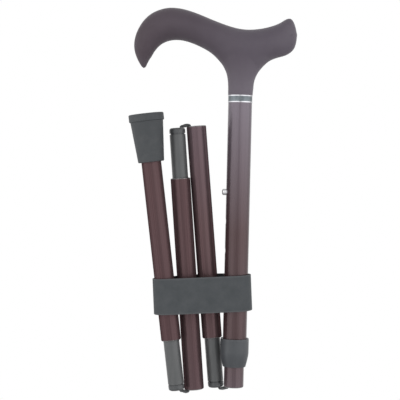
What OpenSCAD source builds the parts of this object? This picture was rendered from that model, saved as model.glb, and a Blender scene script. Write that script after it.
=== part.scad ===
// Folding cane with a derby handle, shown folded and held by its elastic band.
// The upper tube stands along Z and the origin is the palm rest, on top of the handle over that tube.
// Three lower sections fold beside the upper one, each a tube with a connector plug at its upper end.

/* [Handle] */
// Length of the handle from nose to tail
handle_len = 138; // [120:1:150]
// Height of the handle from the foot of its neck to the top of its head
handle_h = 73; // [66:0.2:80]
// Greatest width of the handle across the palm
handle_w = 30.4; // [26:0.2:34]
// Diameter of the foot of the neck
neck_d = 20.8; // [20.6:0.1:23]
// Depth of the socket in the neck
socket_depth = 31; // [24:0.5:34]

/* [Trim] */
// Diameter of the two bright rings
trim_ring_d = 20.8; // [20.2:0.1:23]
// Height of one bright ring
trim_ring_h = 0.9; // [0.8:0.1:2]
// Diameter of the band between the rings
trim_band_d = 20.4; // [20:0.1:22]
// Height of the band between the rings
trim_band_h = 4.4; // [3:0.2:8]

/* [Spigot] */
// Length of the spigot that reaches into the upper tube
spigot_in_tube = 30; // [20:1:45]
// Diameter of the bolt through the spigot
bolt_d = 5; // [4:0.5:6]
// Diameter of the bolt head
bolt_head_d = 9; // [8:0.5:11]
// Height of the bolt head
bolt_head_h = 3.5; // [2.5:0.5:5]
// Diameter of the threaded insert in the handle
insert_d = 8; // [7.5:0.5:10]
// Length of the threaded insert
insert_len = 12; // [8:0.5:14]

/* [Upper tube] */
// Outside diameter of the upper tube
upper_tube_d = 20.2; // [19.8:0.1:21]
// Wall of the upper tube
upper_tube_wall = 1.3; // [1.1:0.05:1.4]
// Length of the upper tube
upper_tube_len = 206.4; // [204:0.2:225]
// Number of height holes
hole_count = 5; // [2:1:5]
// Distance between height holes
hole_pitch = 25; // [20:0.5:26]
// Distance from the top of the upper tube to the first height hole
first_hole_drop = 76; // [66:0.5:80]

/* [Lower tubes] */
// Outside diameter of the inner tube and of the lower tubes
lower_tube_d = 16.8; // [16.4:0.05:16.9]
// Wall of the inner tube and of the lower tubes
lower_tube_wall = 1.4; // [1.1:0.05:1.8]
// Rounding of the rims of the inner tube and of the lower tubes
rim_round = 1; // [0.4:0.05:1.05]
// Length of the inner tube
inner_tube_len = 197; // [195:1:204]
// Length of the inner tube that stands out below the upper tube at the shortest setting
inner_tube_out = 35.8; // [31:0.1:50]
// Length of the second section's tube
tube_2_len = 182.5; // [170:0.1:192]
// Length of the third section's tube
tube_3_len = 181.4; // [172:0.1:190]
// Length of the fourth section's tube
tube_4_len = 187; // [178:0.1:196]

/* [Connectors] */
// Length of a connector that stands out of its tube
connector_reach = 42.8; // [34:0.1:50]
// Length of a connector inside its own tube
connector_seat = 30; // [20:0.5:40]
// Wall of a connector
connector_wall = 1.5; // [1:0.1:2]
// Length of a connector's end cap
cap_len = 4.6; // [3.4:0.1:6]
// Radius of the end cap's edge
cap_round = 2; // [1:0.1:2.2]
// Diameter of the end cap's open mouth
cap_mouth_d = 9.2; // [8:0.1:9.2]
// Width of the groove behind the end cap
groove_w = 1; // [0.4:0.1:1.4]
// Depth of the groove behind the end cap
groove_depth = 0.8; // [0.2:0.05:0.9]
// Length of the end cap's stem in the connector
stem_len = 7; // [4:0.5:12]

/* [Snap button] */
// Diameter of the button
button_d = 5.2; // [4:0.1:5.4]
// Height of the button above the upper tube
button_proud = 3.6; // [2.5:0.1:4]
// Diameter of the button's flange
button_flange_d = 6.6; // [6.2:0.1:7]
// Thickness of the button's flange
button_flange_t = 1.2; // [0.8:0.1:1.6]
// Thickness of the leaf spring
leaf_t = 0.6; // [0.4:0.05:0.8]
// Width of the leaf spring
leaf_w = 5; // [4:0.2:5.4]
// Length of the leaf spring's legs
leaf_len = 14; // [10:0.5:16]

/* [Lock collar] */
// Diameter of the collar's grip
collar_d = 24.2; // [23.8:0.1:27]
// Diameter of the collar's upper end
collar_top_d = 23.8; // [22.4:0.1:24.2]
// Length of the collar's upper taper
collar_taper_len = 1.5; // [1:0.5:8]
// Diameter of the collar's lower end
collar_end_d = 19.4; // [19.2:0.1:21.6]
// Length of the collar
collar_len = 24; // [21:0.2:28]
// Length of the collar's full grip
collar_grip_len = 12; // [8:0.5:13]
// Length of the collar above the end of the upper tube
collar_over = 6; // [6:0.5:8]
// Thickness of the threaded bush on the upper tube
bush_t = 0.7; // [0.5:0.05:0.75]
// Length of the threaded bush
bush_len = 4.4; // [3:0.2:4.6]
// Length of the split clamping ring
clamp_len = 12; // [9:0.5:12.6]
// Width of the slit in the clamping ring
clamp_slit = 1.6; // [0.8:0.1:3]

/* [Ferrule] */
// Diameter of the ferrule's tread flange
tread_d = 29.8; // [27:0.1:34]
// Height of the tread flange
tread_h = 6.6; // [4:0.1:8]
// Diameter of the ferrule's body beside the flange
ferrule_base_d = 27.8; // [24:0.1:28.4]
// Diameter of the ferrule's upper end
ferrule_top_d = 22.1; // [20:0.1:23.6]
// Length of the ferrule
ferrule_len = 41; // [34:0.2:50]
// Thickness of rubber under the washer
tread_t = 5; // [4:0.1:6]
// Thickness of the steel washer
washer_t = 1.2; // [0.8:0.1:2]
// Number of ring grooves in the tread
tread_grooves = 3; // [1:1:3]

/* [Cord] */
// Diameter of the elastic cord
cord_d = 2.2; // [2:0.1:3]
// Length of a cord arch inside the tube's mouth
bend_in = 18; // [12:1:24]
// Length of an anchor plug
anchor_len = 5; // [3:0.5:8]
// Diameter of a knot
knot_d = 6; // [5:0.2:8]
// Length of a knot
knot_len = 5; // [4:0.2:7]

/* [Folded bundle] */
// Lean of the second section beside the upper one
tilt_2 = 5.6; // [4.5:0.1:6.5]
// Lean of the third section
tilt_3 = 5; // [4:0.1:5.6]
// Lean of the fourth section
tilt_4 = 7.6; // [7:0.1:9]
// Turn of the second section behind the upper one, seen from above
stagger_2 = 31.4; // [28:0.1:40]
// Turn of the third section before the second one
stagger_3 = 18.5; // [8:0.5:26]
// Turn of the fourth section before the third one
stagger_4 = 32.4; // [28:0.1:40]
// Distance from the inner tube's mouth down to the second section's end cap
drop_2 = 2.2; // [1:0.1:4]
// Distance from the second tube's mouth down to the third section's end cap
drop_3 = 2.2; // [1:0.1:5]
// Distance from the third tube's mouth up to the fourth section's end cap
rise_4 = 0.5; // [0.1:0.1:2]
// Gap between a folded section and its neighbour at their closest
section_gap = 0.6; // [0.4:0.1:2]
// Distance from a tube's mouth to the connector that is about to enter it
entry_gap = 3; // [2:0.1:6]

/* [Storage band] */
// Height of the elastic band
band_h = 30.5; // [20:0.5:40]
// Thickness of the elastic band
band_t = 1.2; // [0.8:0.1:2]
// Gap between the band and the tubes
band_gap = 0.4; // [0.3:0.1:1]
// Slack of the band round the upper tube
band_slack = 0.8; // [0.1:0.1:2]
// Lean of the band across the bundle
band_tilt = 3.6; // [2.5:0.1:5]
// Distance from the upper tube's lower end up to the middle of the band
band_rise = 45; // [34:0.5:60]

/* [Hidden] */
$fn = 96;

// Clearances
fit_gap = 0.05;        // between pieces that are pressed or glued together
slide_gap = 0.05;      // radial, of a running fit
plug_gap = 0.25;       // radial, of a connector in the next tube's mouth
turn_gap = 0.3;        // radial, between turning or passing pieces
button_gap = 0.1;      // radial, of the button in the inner tube
cord_gap = 0.3;        // radial, of the cord in a hole
edge_gap = 0.25;       // between an arch of cord and the edges it passes over
over = 1;              // overrun of cuts

// Radii
upper_r = upper_tube_d / 2;
upper_bore_r = upper_r - upper_tube_wall;
lower_r = lower_tube_d / 2;
lower_bore_r = lower_r - lower_tube_wall;
connector_r = lower_bore_r - plug_gap;
connector_bore_r = connector_r - connector_wall;
cord_r = cord_d / 2;
cord_hole_r = cord_r + cord_gap;
spigot_r = upper_bore_r - fit_gap;
collar_r = collar_d / 2;

// Heights along the upper tube, from the palm rest down
saddle_share = 0.763;
neck_z = -saddle_share * handle_h;
band_top_z = neck_z - trim_ring_h;
ring_top_z = band_top_z - trim_band_h;
upper_top_z = ring_top_z - trim_ring_h;
upper_end_z = upper_top_z - upper_tube_len;
inner_end_z = upper_end_z - inner_tube_out;
inner_top_z = inner_end_z + inner_tube_len;
button_z = upper_top_z - first_hole_drop;
collar_top_z = upper_end_z + collar_over;
collar_end_z = collar_top_z - collar_len;
socket_top_z = neck_z + socket_depth;
spigot_end_z = upper_top_z - spigot_in_tube;

// Directions of the lower sections, each from its end cap towards its other end
function lean(angle) = [sin(angle), 0, cos(angle)];
turn_2 = -tilt_2;
turn_3 = 180 - tilt_3;
turn_4 = -tilt_4;
down = [0, 0, -1];
dir_2 = lean(turn_2);
dir_3 = lean(turn_3);
dir_4 = lean(turn_4);

// Ends of the folded sections: each lies beside its neighbour where the two come closest
mouth_1 = [0, 0, inner_end_z];
grip_end_z = collar_top_z - collar_grip_len;
reach_2 = collar_r + lower_r + section_gap;
end_2_z = inner_end_z - drop_2;
end_2 = [
  (grip_end_z - end_2_z) * tan(tilt_2) - reach_2 * cos(stagger_2),
  reach_2 * sin(stagger_2),
  end_2_z
];
mouth_2 = end_2 + (connector_reach + tube_2_len) * dir_2;
reach_3 = 2 * lower_r + section_gap;
end_3_z = mouth_2.z - drop_3;
end_3 = [
  end_2.x - (end_3_z - end_2_z) * tan(tilt_2) - reach_3 * cos(stagger_3),
  end_2.y - reach_3 * sin(stagger_3),
  end_3_z
];
mouth_3 = end_3 + (connector_reach + tube_3_len) * dir_3;
reach_4 = 2 * lower_r + section_gap;
end_4 = [
  mouth_3.x - reach_4 * cos(stagger_4) - rise_4 * tan(tilt_4),
  mouth_3.y - reach_4 * sin(stagger_4),
  mouth_3.z + rise_4
];
foot_t = connector_reach + tube_4_len;
tread_at = foot_t + washer_t + tread_t;

// A fold carries a section's end cap and direction to just outside the mouth that it plugs into
function unit(v) = v / norm(v);
function square_to(v, axis) = v - (v * axis) * axis;
function fold_axis(cap, from, mouth, to) =
  let (axis = unit(cross(from - to, mouth + entry_gap * to - cap)))
  cross(from, to) * axis < 0 ? -axis : axis;
function fold_angle(from, to, axis) = acos(unit(square_to(from, axis)) * unit(square_to(to, axis)));
function fold(cap, from, mouth, to) =
  let (
    target = mouth + entry_gap * to,
    axis = fold_axis(cap, from, mouth, to),
    angle = fold_angle(from, to, axis)
  )
  [angle, axis, (cap + target) / 2 + cross(axis, target - cap) / (2 * tan(angle / 2))];
plug_travel = entry_gap + connector_reach - turn_gap;
button_travel = button_proud + upper_tube_wall + slide_gap;
echo(fold_1 = fold(end_2, dir_2, mouth_1, down));
echo(fold_2 = fold(end_3, dir_3, mouth_2, dir_2));
echo(fold_3 = fold(end_4, dir_4, mouth_3, dir_3));
echo(plug_axes = [-dir_2, -dir_3, -dir_4], plug_travel = plug_travel, button_travel = button_travel);
echo(height_travel = (hole_count - 1) * hole_pitch, tread = end_4 + tread_at * dir_4, tread_axis = dir_4);
echo(mouths = [mouth_1, mouth_2, mouth_3], caps = [end_2, end_3, end_4], collar_z = collar_top_z);

// Handle: stations from the crotch of the handle outwards along its nose, its tail and its neck.
// Each has two points of the outline and the ridge point between them, as shares of the handle's length
// and height, and the half width there as a share of half the handle's width.
crotch_ridge_share = [-0.005, 0.5392, 1];
saddle_top_share = [0.02, 0.762];
crotch_nose_share = [-0.1224, 0.3676];
crotch_tail_share = [0.1148, 0.2919];
nose_shares = [
  [[-0.06, 0.7869], [-0.1796, 0.4755], [-0.102, 0.6287, 1]],
  [[-0.179, 0.8639], [-0.2562, 0.5561], [-0.207, 0.7173, 0.987]],
  [[-0.2848, 0.9414], [-0.3337, 0.6093], [-0.307, 0.7829, 0.974]],
  [[-0.3805, 0.9892], [-0.397, 0.6254], [-0.4, 0.8078, 0.954]],
  [[-0.469, 0.9898], [-0.4555, 0.6065], [-0.479, 0.7809, 0.908]],
  [[-0.564, 0.9142], [-0.4992, 0.559], [-0.543, 0.7083, 0.829]],
  [[-0.6226, 0.7872], [-0.5319, 0.4877], [-0.579, 0.6198, 0.737]],
  [[-0.6544, 0.6405], [-0.549, 0.4289], [-0.598, 0.5263, 0.632]],
  [[-0.6575, 0.5085], [-0.565, 0.3821], [-0.606, 0.4378, 0.5]],
  [[-0.6364, 0.3913], [-0.577, 0.3354], [-0.604, 0.3741, 0.342]],
  [[-0.609, 0.3085], [-0.585, 0.3045], [-0.602, 0.3483, 0.257]],
  [[-0.597, 0.2906], [-0.597, 0.2906], [-0.6, 0.3324, 0.211]]
];
tail_shares = [
  [[0.088, 0.767], [0.1685, 0.3988], [0.084, 0.578, 0.974]],
  [[0.1611, 0.7937], [0.2224, 0.444], [0.157, 0.6158, 0.934]],
  [[0.2295, 0.8415], [0.2682, 0.4695], [0.215, 0.6476, 0.868]],
  [[0.2743, 0.8947], [0.3003, 0.5044], [0.255, 0.6725, 0.789]],
  [[0.3011, 0.8964], [0.322, 0.5492], [0.28, 0.6844, 0.697]],
  [[0.3225, 0.8354], [0.3332, 0.6066], [0.292, 0.6914, 0.632]],
  [[0.34, 0.7113], [0.34, 0.7113], [0.298, 0.6974, 0.592]]
];
neck_shares = [
  [[-0.1032, 0.3131], [0.0992, 0.2447], [0, 0.3413, 0.855]],
  [[-0.085, 0.2329], [0.084, 0.1703], [0, 0.225, 0.763]],
  [[-0.077, 0.1285], [0.079, 0.0827], [0, 0.1086, 0.704]]
];
station_steps = 3;     // rings between two stations
section_steps = 6;     // points from the outline to the ridge

function outline_point(share) = [share[0] * handle_len, neck_z + share[1] * handle_h];
function ridge_point(share) =
  [share[0] * handle_len, neck_z + share[1] * handle_h, share[2] * handle_w / 2];
function station(shares) =
  [outline_point(shares[0]), outline_point(shares[1]), ridge_point(shares[2])];
crotch_ridge = ridge_point(crotch_ridge_share);
saddle_top = outline_point(saddle_top_share);
crotch_nose = outline_point(crotch_nose_share);
crotch_tail = outline_point(crotch_tail_share);
nose_stations = [for (s = nose_shares) station(s)];
tail_stations = [for (s = tail_shares) station(s)];
neck_foot = [[-neck_d / 2, neck_z], [neck_d / 2, neck_z], [0, neck_z, neck_d / 2]];
neck_stations = concat([for (s = neck_shares) station(s)], [neck_foot]);

// Smooth curve through a list of points, with one guide point before its start
function curve_at(p, i, t) =
  let (
    a = p[i], b = p[i + 1], c = p[i + 2],
    d = i + 3 < len(p) ? p[i + 3] : 2 * c - b
  )
  b + (t * (c - a) + t * t * (2 * a - 5 * b + 4 * c - d) + t * t * t * (3 * b - a - 3 * c + d)) / 2;
function curve(p) =
  [for (i = [0:len(p) - 3], k = [0:station_steps - 1]) curve_at(p, i, k / station_steps), p[len(p) - 1]];
function column(stations, i) = [for (s = stations) s[i]];
function backwards(list) = [for (i = [len(list) - 1:-1:0]) list[i]];
function tail_of(list) = [for (i = [1:len(list) - 1]) list[i]];

nose_top = curve(concat([tail_stations[0][0], saddle_top], column(nose_stations, 0)));
nose_under = curve(concat([neck_stations[0][0], crotch_nose], column(nose_stations, 1)));
nose_ridge = curve(concat([tail_stations[0][2], crotch_ridge], column(nose_stations, 2)));
tail_top = curve(concat([nose_stations[0][0], saddle_top], column(tail_stations, 0)));
tail_under = curve(concat([neck_stations[0][1], crotch_tail], column(tail_stations, 1)));
tail_ridge = curve(concat([nose_stations[0][2], crotch_ridge], column(tail_stations, 2)));
neck_nose = curve(concat([nose_stations[0][1], crotch_nose], column(neck_stations, 0)));
neck_tail = curve(concat([tail_stations[0][1], crotch_tail], column(neck_stations, 1)));
over_crotch = 2 * crotch_ridge - neck_stations[0][2];
neck_ridge = curve(concat([over_crotch, crotch_ridge], column(neck_stations, 2)));

// Once round the outline, from the neck's foot on the tail side to its foot on the nose side
outline = concat(
  backwards(neck_tail), tail_of(tail_under), tail_of(backwards(tail_top)),
  tail_of(nose_top), tail_of(backwards(nose_under)), tail_of(neck_nose)
);
ridges = concat(nose_ridge, tail_of(tail_ridge), tail_of(neck_ridge));
nose_n = len(nose_ridge) - 1;
tail_n = len(tail_ridge) - 1;
neck_n = len(neck_ridge) - 1;
function tail_id(i) = i == 0 ? 0 : nose_n + i;
function neck_id(i) = i == 0 ? 0 : nose_n + tail_n + i;
ridge_of = concat(
  [for (i = [neck_n:-1:0]) neck_id(i)], [for (i = [1:tail_n]) tail_id(i)],
  [for (i = [tail_n - 1:-1:0]) tail_id(i)], [for (i = [1:nose_n]) i],
  [for (i = [nose_n - 1:-1:0]) i], [for (i = [1:neck_n]) neck_id(i)]
);

// Point of the handle's skin between the outline (k = 0) and the ridge, in front (-1) or behind (1)
function skin(i, k, side) =
  let (o = outline[i], r = ridges[ridge_of[i]], angle = 90 * k / section_steps)
  [
    r[0] + (o[0] - r[0]) * cos(angle),
    side * r[2] * sin(angle),
    r[1] + (o[1] - r[1]) * cos(angle)
  ];
loop_n = len(outline);
rows = section_steps - 1;
skin_points = concat(
  [for (i = [0:loop_n - 1]) skin(i, 0, 1)],
  [for (side = [-1, 1], i = [0:loop_n - 1], k = [1:rows]) skin(i, k, side)],
  [for (side = [-1, 1], r = ridges) [r[0], side * r[2], r[1]]]
);
function skin_id(i, k, side) =
  k == 0 ? i :
  k > rows ? loop_n + 2 * loop_n * rows + side * len(ridges) + ridge_of[i] :
  loop_n + side * loop_n * rows + i * rows + k - 1;
skin_faces = concat(
  [for (i = [0:loop_n - 2], k = [0:rows]) each
    [[skin_id(i, k, 0), skin_id(i, k + 1, 0), skin_id(i + 1, k + 1, 0)],
     [skin_id(i, k, 0), skin_id(i + 1, k + 1, 0), skin_id(i + 1, k, 0)]]],
  [for (i = [0:loop_n - 2], k = [0:rows]) each
    [[skin_id(i, k, 1), skin_id(i + 1, k + 1, 1), skin_id(i, k + 1, 1)],
     [skin_id(i, k, 1), skin_id(i + 1, k, 1), skin_id(i + 1, k + 1, 1)]]],
  [concat(
    [for (k = [rows + 1:-1:0]) skin_id(0, k, 0)],
    [for (k = [1:rows + 1]) skin_id(0, k, 1)],
    [for (k = [rows:-1:0]) skin_id(loop_n - 1, k, 1)],
    [for (k = [1:rows]) skin_id(loop_n - 1, k, 0)]
  )]
);

// Shapes that repeat
module pipe(outer_r, bore_r, from_z, to_z) {
  translate([0, 0, from_z])
    difference() {
      cylinder(r = outer_r, h = to_z - from_z);
      translate([0, 0, -over]) cylinder(r = bore_r, h = to_z - from_z + 2 * over);
    }
}
module rod(r, from_z, to_z) {
  translate([0, 0, from_z]) cylinder(r = r, h = to_z - from_z);
}
// Tube with rounded outer rims
module rimmed_pipe(outer_r, bore_r, from_z, to_z) {
  steps = 3;
  corner_r = outer_r - rim_round;
  function rim(k) = rim_round * [sin(90 * k / steps), cos(90 * k / steps)];
  rotate_extrude()
    polygon(concat(
      [[bore_r, from_z]],
      [for (k = [0:steps]) [corner_r + rim(k)[0], from_z + rim_round - rim(k)[1]]],
      [for (k = [steps:-1:0]) [corner_r + rim(k)[0], to_z - rim_round + rim(k)[1]]],
      [[bore_r, to_z]]
    ));
}
module at_section(cap, turn) {
  translate(cap) rotate([0, turn, 0]) children();
}
module at_2() { at_section(end_2, turn_2) children(); }
module at_3() { at_section(end_3, turn_3) children(); }
module at_4() { at_section(end_4, turn_4) children(); }

// Connector from behind its end cap to its seat in the tube
module connector() {
  seat_r = lower_bore_r - fit_gap;
  pipe(connector_r, connector_bore_r, cap_len + groove_w, connector_reach);
  pipe(seat_r, connector_bore_r, connector_reach, connector_reach + connector_seat);
}
// End cap with a rounded edge, an open mouth, a cord hole, a grooved neck and a stem in the connector
module connector_cap() {
  edge_steps = 6;
  stem_end = cap_len + groove_w + stem_len;
  rotate_extrude()
    polygon(concat(
      [[cord_hole_r, stem_end], [cord_hole_r, cap_len]],
      [[cap_mouth_d / 2, cap_len], [cap_mouth_d / 2, 0]],
      [for (k = [0:edge_steps]) let (angle = 90 * k / edge_steps)
        [connector_r - cap_round + cap_round * sin(angle), cap_round - cap_round * cos(angle)]],
      [[connector_r, cap_len], [connector_r - groove_depth, cap_len]],
      [[connector_r - groove_depth, cap_len + groove_w], [connector_bore_r - fit_gap, cap_len + groove_w]],
      [[connector_bore_r - fit_gap, stem_end]]
    ));
}
module anchor(from_z, r) {
  pipe(r, cord_hole_r, from_z, from_z + anchor_len);
}
// Knot as a barrel, fullest at the middle of its length
module knot(from_z) {
  steps = 8;
  rotate_extrude()
    polygon(concat(
      [[0, from_z]],
      [for (k = [0:steps])
        [knot_d / 4 * (1 + sin(180 * k / steps)), from_z + knot_len * k / steps]],
      [[0, from_z + knot_len]]
    ));
}
// Arch of cord: from the axis inside a tube to its wall, over the rim, across to the next end cap,
// and over that cap's lip to the axis again
bend_rings = 6;        // rings of one stretch of an arch
bend_sides = 8;
bend_r = cord_r + edge_gap;
corner_share = 0.55;   // reach of a rounded corner's guide points as a share of its radius
function bend_at(p, t) =
  (1 - t) * (1 - t) * (1 - t) * p[0] + 3 * t * (1 - t) * (1 - t) * p[1]
  + 3 * t * t * (1 - t) * p[2] + t * t * t * p[3];
function bend_heading(p, t) =
  unit((1 - t) * (1 - t) * (p[1] - p[0]) + 2 * t * (1 - t) * (p[2] - p[1]) + t * t * (p[3] - p[2]));
function stretch(from, out_from, to, out_to) = [from, from + out_from, to - out_to, to];
module bend(mouth, out, cap, into) {
  leave = unit(square_to(cap - mouth, out));
  arrive = unit(square_to(cap - mouth, into));
  corner = corner_share * bend_r;
  wall = mouth + (lower_bore_r - bend_r) * leave;
  rim_top = mouth + lower_bore_r * leave + bend_r * out;
  lip_top = cap - cap_mouth_d / 2 * arrive - bend_r * into;
  lip = cap - (cap_mouth_d / 2 - bend_r) * arrive;
  across = norm(lip_top - rim_top) / 3;
  stretches = [
    stretch(mouth - bend_in * out, bend_in / 2 * out, wall, bend_in / 2 * out),
    stretch(wall, corner * out, rim_top, corner * leave),
    stretch(rim_top, across * leave, lip_top, across * arrive),
    stretch(lip_top, corner * arrive, lip, corner * into),
    stretch(lip, cap_len / 2 * into, cap + cap_len * into, cap_len / 2 * into)
  ];
  side = unit(cross(out, cap - mouth));
  stops = [
    for (p = stretches, k = [0:bend_rings - 1]) [p, k / bend_rings],
    [stretches[len(stretches) - 1], 1]
  ];
  points = [for (stop = stops, s = [0:bend_sides - 1])
    let (
      heading = bend_heading(stop[0], stop[1]),
      level = unit(square_to(side, heading)),
      up = cross(heading, level),
      angle = 360 * s / bend_sides
    )
    bend_at(stop[0], stop[1]) + cord_r * (cos(angle) * level + sin(angle) * up)];
  last = len(stops) - 1;
  skin = [for (i = [0:last - 1], s = [0:bend_sides - 1])
    let (a = i * bend_sides, n = (s + 1) % bend_sides)
    each [[a + s, a + bend_sides + s, a + bend_sides + n], [a + s, a + bend_sides + n, a + n]]];
  ends = [
    [for (s = [0:bend_sides - 1]) s],
    [for (s = [bend_sides - 1:-1:0]) last * bend_sides + s]
  ];
  polyhedron(points, concat(skin, ends));
}

// Handle
module handle_grip() {
  color("dimgray")
    difference() {
      polyhedron(skin_points, skin_faces);
      rod(spigot_r + fit_gap, neck_z - over, socket_top_z);
      rod(insert_d / 2 + fit_gap, socket_top_z - over, socket_top_z + insert_len);
    }
}
module handle_insert() {
  color("goldenrod") pipe(insert_d / 2, bolt_d / 2 + fit_gap, socket_top_z, socket_top_z + insert_len);
}
module handle_bolt() {
  color("silver") {
    rod(bolt_d / 2, spigot_end_z, socket_top_z + insert_len - over);
    rod(bolt_head_d / 2, spigot_end_z - bolt_head_h, spigot_end_z);
  }
}
module handle_spigot() {
  color("gray") pipe(spigot_r, bolt_d / 2 + fit_gap, spigot_end_z, socket_top_z);
}
module trim_ring(top_z) {
  color("silver") pipe(trim_ring_d / 2, spigot_r + fit_gap, top_z - trim_ring_h, top_z);
}
module trim_ring_upper() { trim_ring(neck_z); }
module trim_ring_lower() { trim_ring(ring_top_z); }
module trim_band() {
  color("slategray") pipe(trim_band_d / 2, spigot_r + fit_gap, ring_top_z, band_top_z);
}

// Upper tube, with its row of height holes on the side of the nose
module upper_tube() {
  hole_r = button_d / 2 + turn_gap;
  color("rosybrown")
    difference() {
      pipe(upper_r, upper_bore_r, upper_end_z, upper_top_z);
      for (i = [0:hole_count - 1])
        translate([0, 0, button_z - i * hole_pitch])
          rotate([0, -90, 0]) cylinder(r = hole_r, h = upper_r + over);
    }
}

// Lock: bush on the tube, split ring under the tube's end, and the collar that squeezes the ring
clamp_wall = 0.8;      // wall of the clamping ring at its thin end
collar_lip_t = 1.2;    // thickness of the lip at the top of the collar
bush_r = upper_r + fit_gap + bush_t;
collar_bore_r = bush_r + turn_gap;
clamp_top_r = collar_bore_r - turn_gap;
clamp_end_r = lower_r + slide_gap + clamp_wall;
cone_top_z = upper_end_z - over;
cone_end_z = upper_end_z - clamp_len - turn_gap;
module lock_bush() {
  thread_pitch = 1.5;
  thread_depth = 0.25;
  turns = floor(bush_len / thread_pitch) - 1;
  color("black")
    difference() {
      pipe(bush_r, upper_r + fit_gap, upper_end_z, upper_end_z + bush_len);
      for (i = [1:turns])
        translate([0, 0, upper_end_z + i * thread_pitch])
          rotate_extrude()
            polygon([
              [bush_r - thread_depth, 0],
              [bush_r + over, -thread_pitch / 3], [bush_r + over, thread_pitch / 3]
            ]);
    }
}
module lock_ring() {
  color("dimgray")
    difference() {
      rotate_extrude()
        polygon([
          [lower_r + slide_gap, upper_end_z], [clamp_top_r, upper_end_z], [clamp_top_r, cone_top_z],
          [clamp_end_r, upper_end_z - clamp_len], [lower_r + slide_gap, upper_end_z - clamp_len]
        ]);
      translate([0, -clamp_slit / 2, upper_end_z - clamp_len - over])
        cube([collar_r, clamp_slit, clamp_len + 2 * over]);
    }
}
module lock_collar() {
  lip_r = lower_r + turn_gap;
  top_lip_r = upper_r + turn_gap;
  top_lip_z = collar_top_z - collar_lip_t;
  end_r = collar_end_d / 2;
  round_steps = 10;
  round_power = 1.4;
  round_len = grip_end_z - collar_end_z;
  color("darkslategray")
    rotate_extrude()
      polygon(concat(
        [[collar_bore_r, top_lip_z], [top_lip_r, top_lip_z], [top_lip_r, collar_top_z]],
        [[collar_top_d / 2, collar_top_z], [collar_r, collar_top_z - collar_taper_len]],
        [for (k = [0:round_steps]) let (t = k / round_steps)
          [end_r + (collar_r - end_r) * (1 - pow(t, round_power)), grip_end_z - round_len * t]],
        [[lip_r, collar_end_z], [lip_r, cone_end_z]],
        [[clamp_end_r + turn_gap, cone_end_z], [collar_bore_r, cone_top_z]]
      ));
}

// Inner tube with its guide, button and spring
flange_top_x = sqrt(pow(lower_bore_r, 2) - pow(button_flange_d / 2, 2)) - turn_gap;
flange_end_x = flange_top_x - button_flange_t;
module inner_tube() {
  color("rosybrown")
    difference() {
      rimmed_pipe(lower_r, lower_bore_r, inner_end_z, inner_top_z);
      translate([0, 0, button_z])
        rotate([0, -90, 0]) cylinder(r = button_d / 2 + button_gap, h = lower_r + over);
    }
}
guide_h = 3;           // height of the guide above the inner tube
guide_seat = 8;        // length of the guide in the inner tube
guide_wall = 1.2;      // wall of the guide's stem
module inner_tube_guide() {
  stem_r = lower_bore_r - fit_gap;
  color("black") {
    pipe(upper_bore_r - slide_gap, stem_r - guide_wall, inner_top_z, inner_top_z + guide_h);
    pipe(stem_r, stem_r - guide_wall, inner_top_z - guide_seat, inner_top_z);
  }
}
module snap_button() {
  tip_x = upper_r + button_proud;
  dome_share = 0.45;
  dome = dome_share * button_d / 2;
  steps = 8;
  color("silver")
    translate([0, 0, button_z]) rotate([0, -90, 0])
      rotate_extrude()
        polygon(concat(
          [[0, flange_end_x], [button_flange_d / 2, flange_end_x], [button_flange_d / 2, flange_top_x]],
          [[button_d / 2, flange_top_x]],
          [for (k = [0:steps]) let (angle = 90 * k / steps)
            [button_d / 2 * cos(angle), tip_x - dome + dome * sin(angle)]]
        ));
}
module button_spring() {
  back_x = sqrt(pow(lower_bore_r, 2) - pow(leaf_w / 2, 2)) - turn_gap;
  outer_r = (back_x + flange_end_x) / 2;
  inner_r = outer_r - leaf_t;
  middle_x = (back_x - flange_end_x) / 2;
  leg_start = -button_flange_d;
  steps = 16;
  function arc(r, k) = [middle_x - r * cos(180 * k / steps), leaf_len + r * sin(180 * k / steps)];
  color("silver")
    translate([0, leaf_w / 2, button_z]) rotate([90, 0, 0])
      linear_extrude(leaf_w)
        polygon(concat(
          [[-flange_end_x, leg_start]],
          [for (k = [0:steps]) arc(outer_r, k)],
          [[back_x, leg_start], [back_x - leaf_t, leg_start]],
          [for (k = [steps:-1:0]) arc(inner_r, k)],
          [[leaf_t - flange_end_x, leg_start]]
        ));
}

// Cord: anchored in the inner tube under the button, and in the fourth tube over the ferrule
anchor_top_z = button_z - button_flange_d - knot_len - 2 * anchor_len;
anchor_r = lower_bore_r - fit_gap;
anchor_drop = 2 * anchor_len;   // from the fourth tube's end up to its anchor
run_gap = bend_in + fit_gap;    // from a tube's mouth to its run of cord
run_start = cap_len + fit_gap;  // from an end cap's face to its run of cord
module cord_anchor_top() { color("black") anchor(anchor_top_z, anchor_r); }
module cord_knot_top() { color("black") knot(anchor_top_z + anchor_len); }
module cord_run_1() { color("black") rod(cord_r, inner_end_z + run_gap, anchor_top_z + anchor_len); }
module cord_bend_1() { color("black") bend(mouth_1, down, end_2, dir_2); }
module cord_run_2() { color("black") at_2() rod(cord_r, run_start, connector_reach + tube_2_len - run_gap); }
module cord_bend_2() { color("black") bend(mouth_2, dir_2, end_3, dir_3); }
module cord_run_3() { color("black") at_3() rod(cord_r, run_start, connector_reach + tube_3_len - run_gap); }
module cord_bend_3() { color("black") bend(mouth_3, dir_3, end_4, dir_4); }
anchor_end_t = foot_t - anchor_drop;
module cord_run_4() { color("black") at_4() rod(cord_r, run_start, anchor_end_t); }
module cord_anchor_bottom() { color("black") at_4() anchor(anchor_end_t - anchor_len, anchor_r); }
module cord_knot_bottom() { color("black") at_4() knot(anchor_end_t); }

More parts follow.
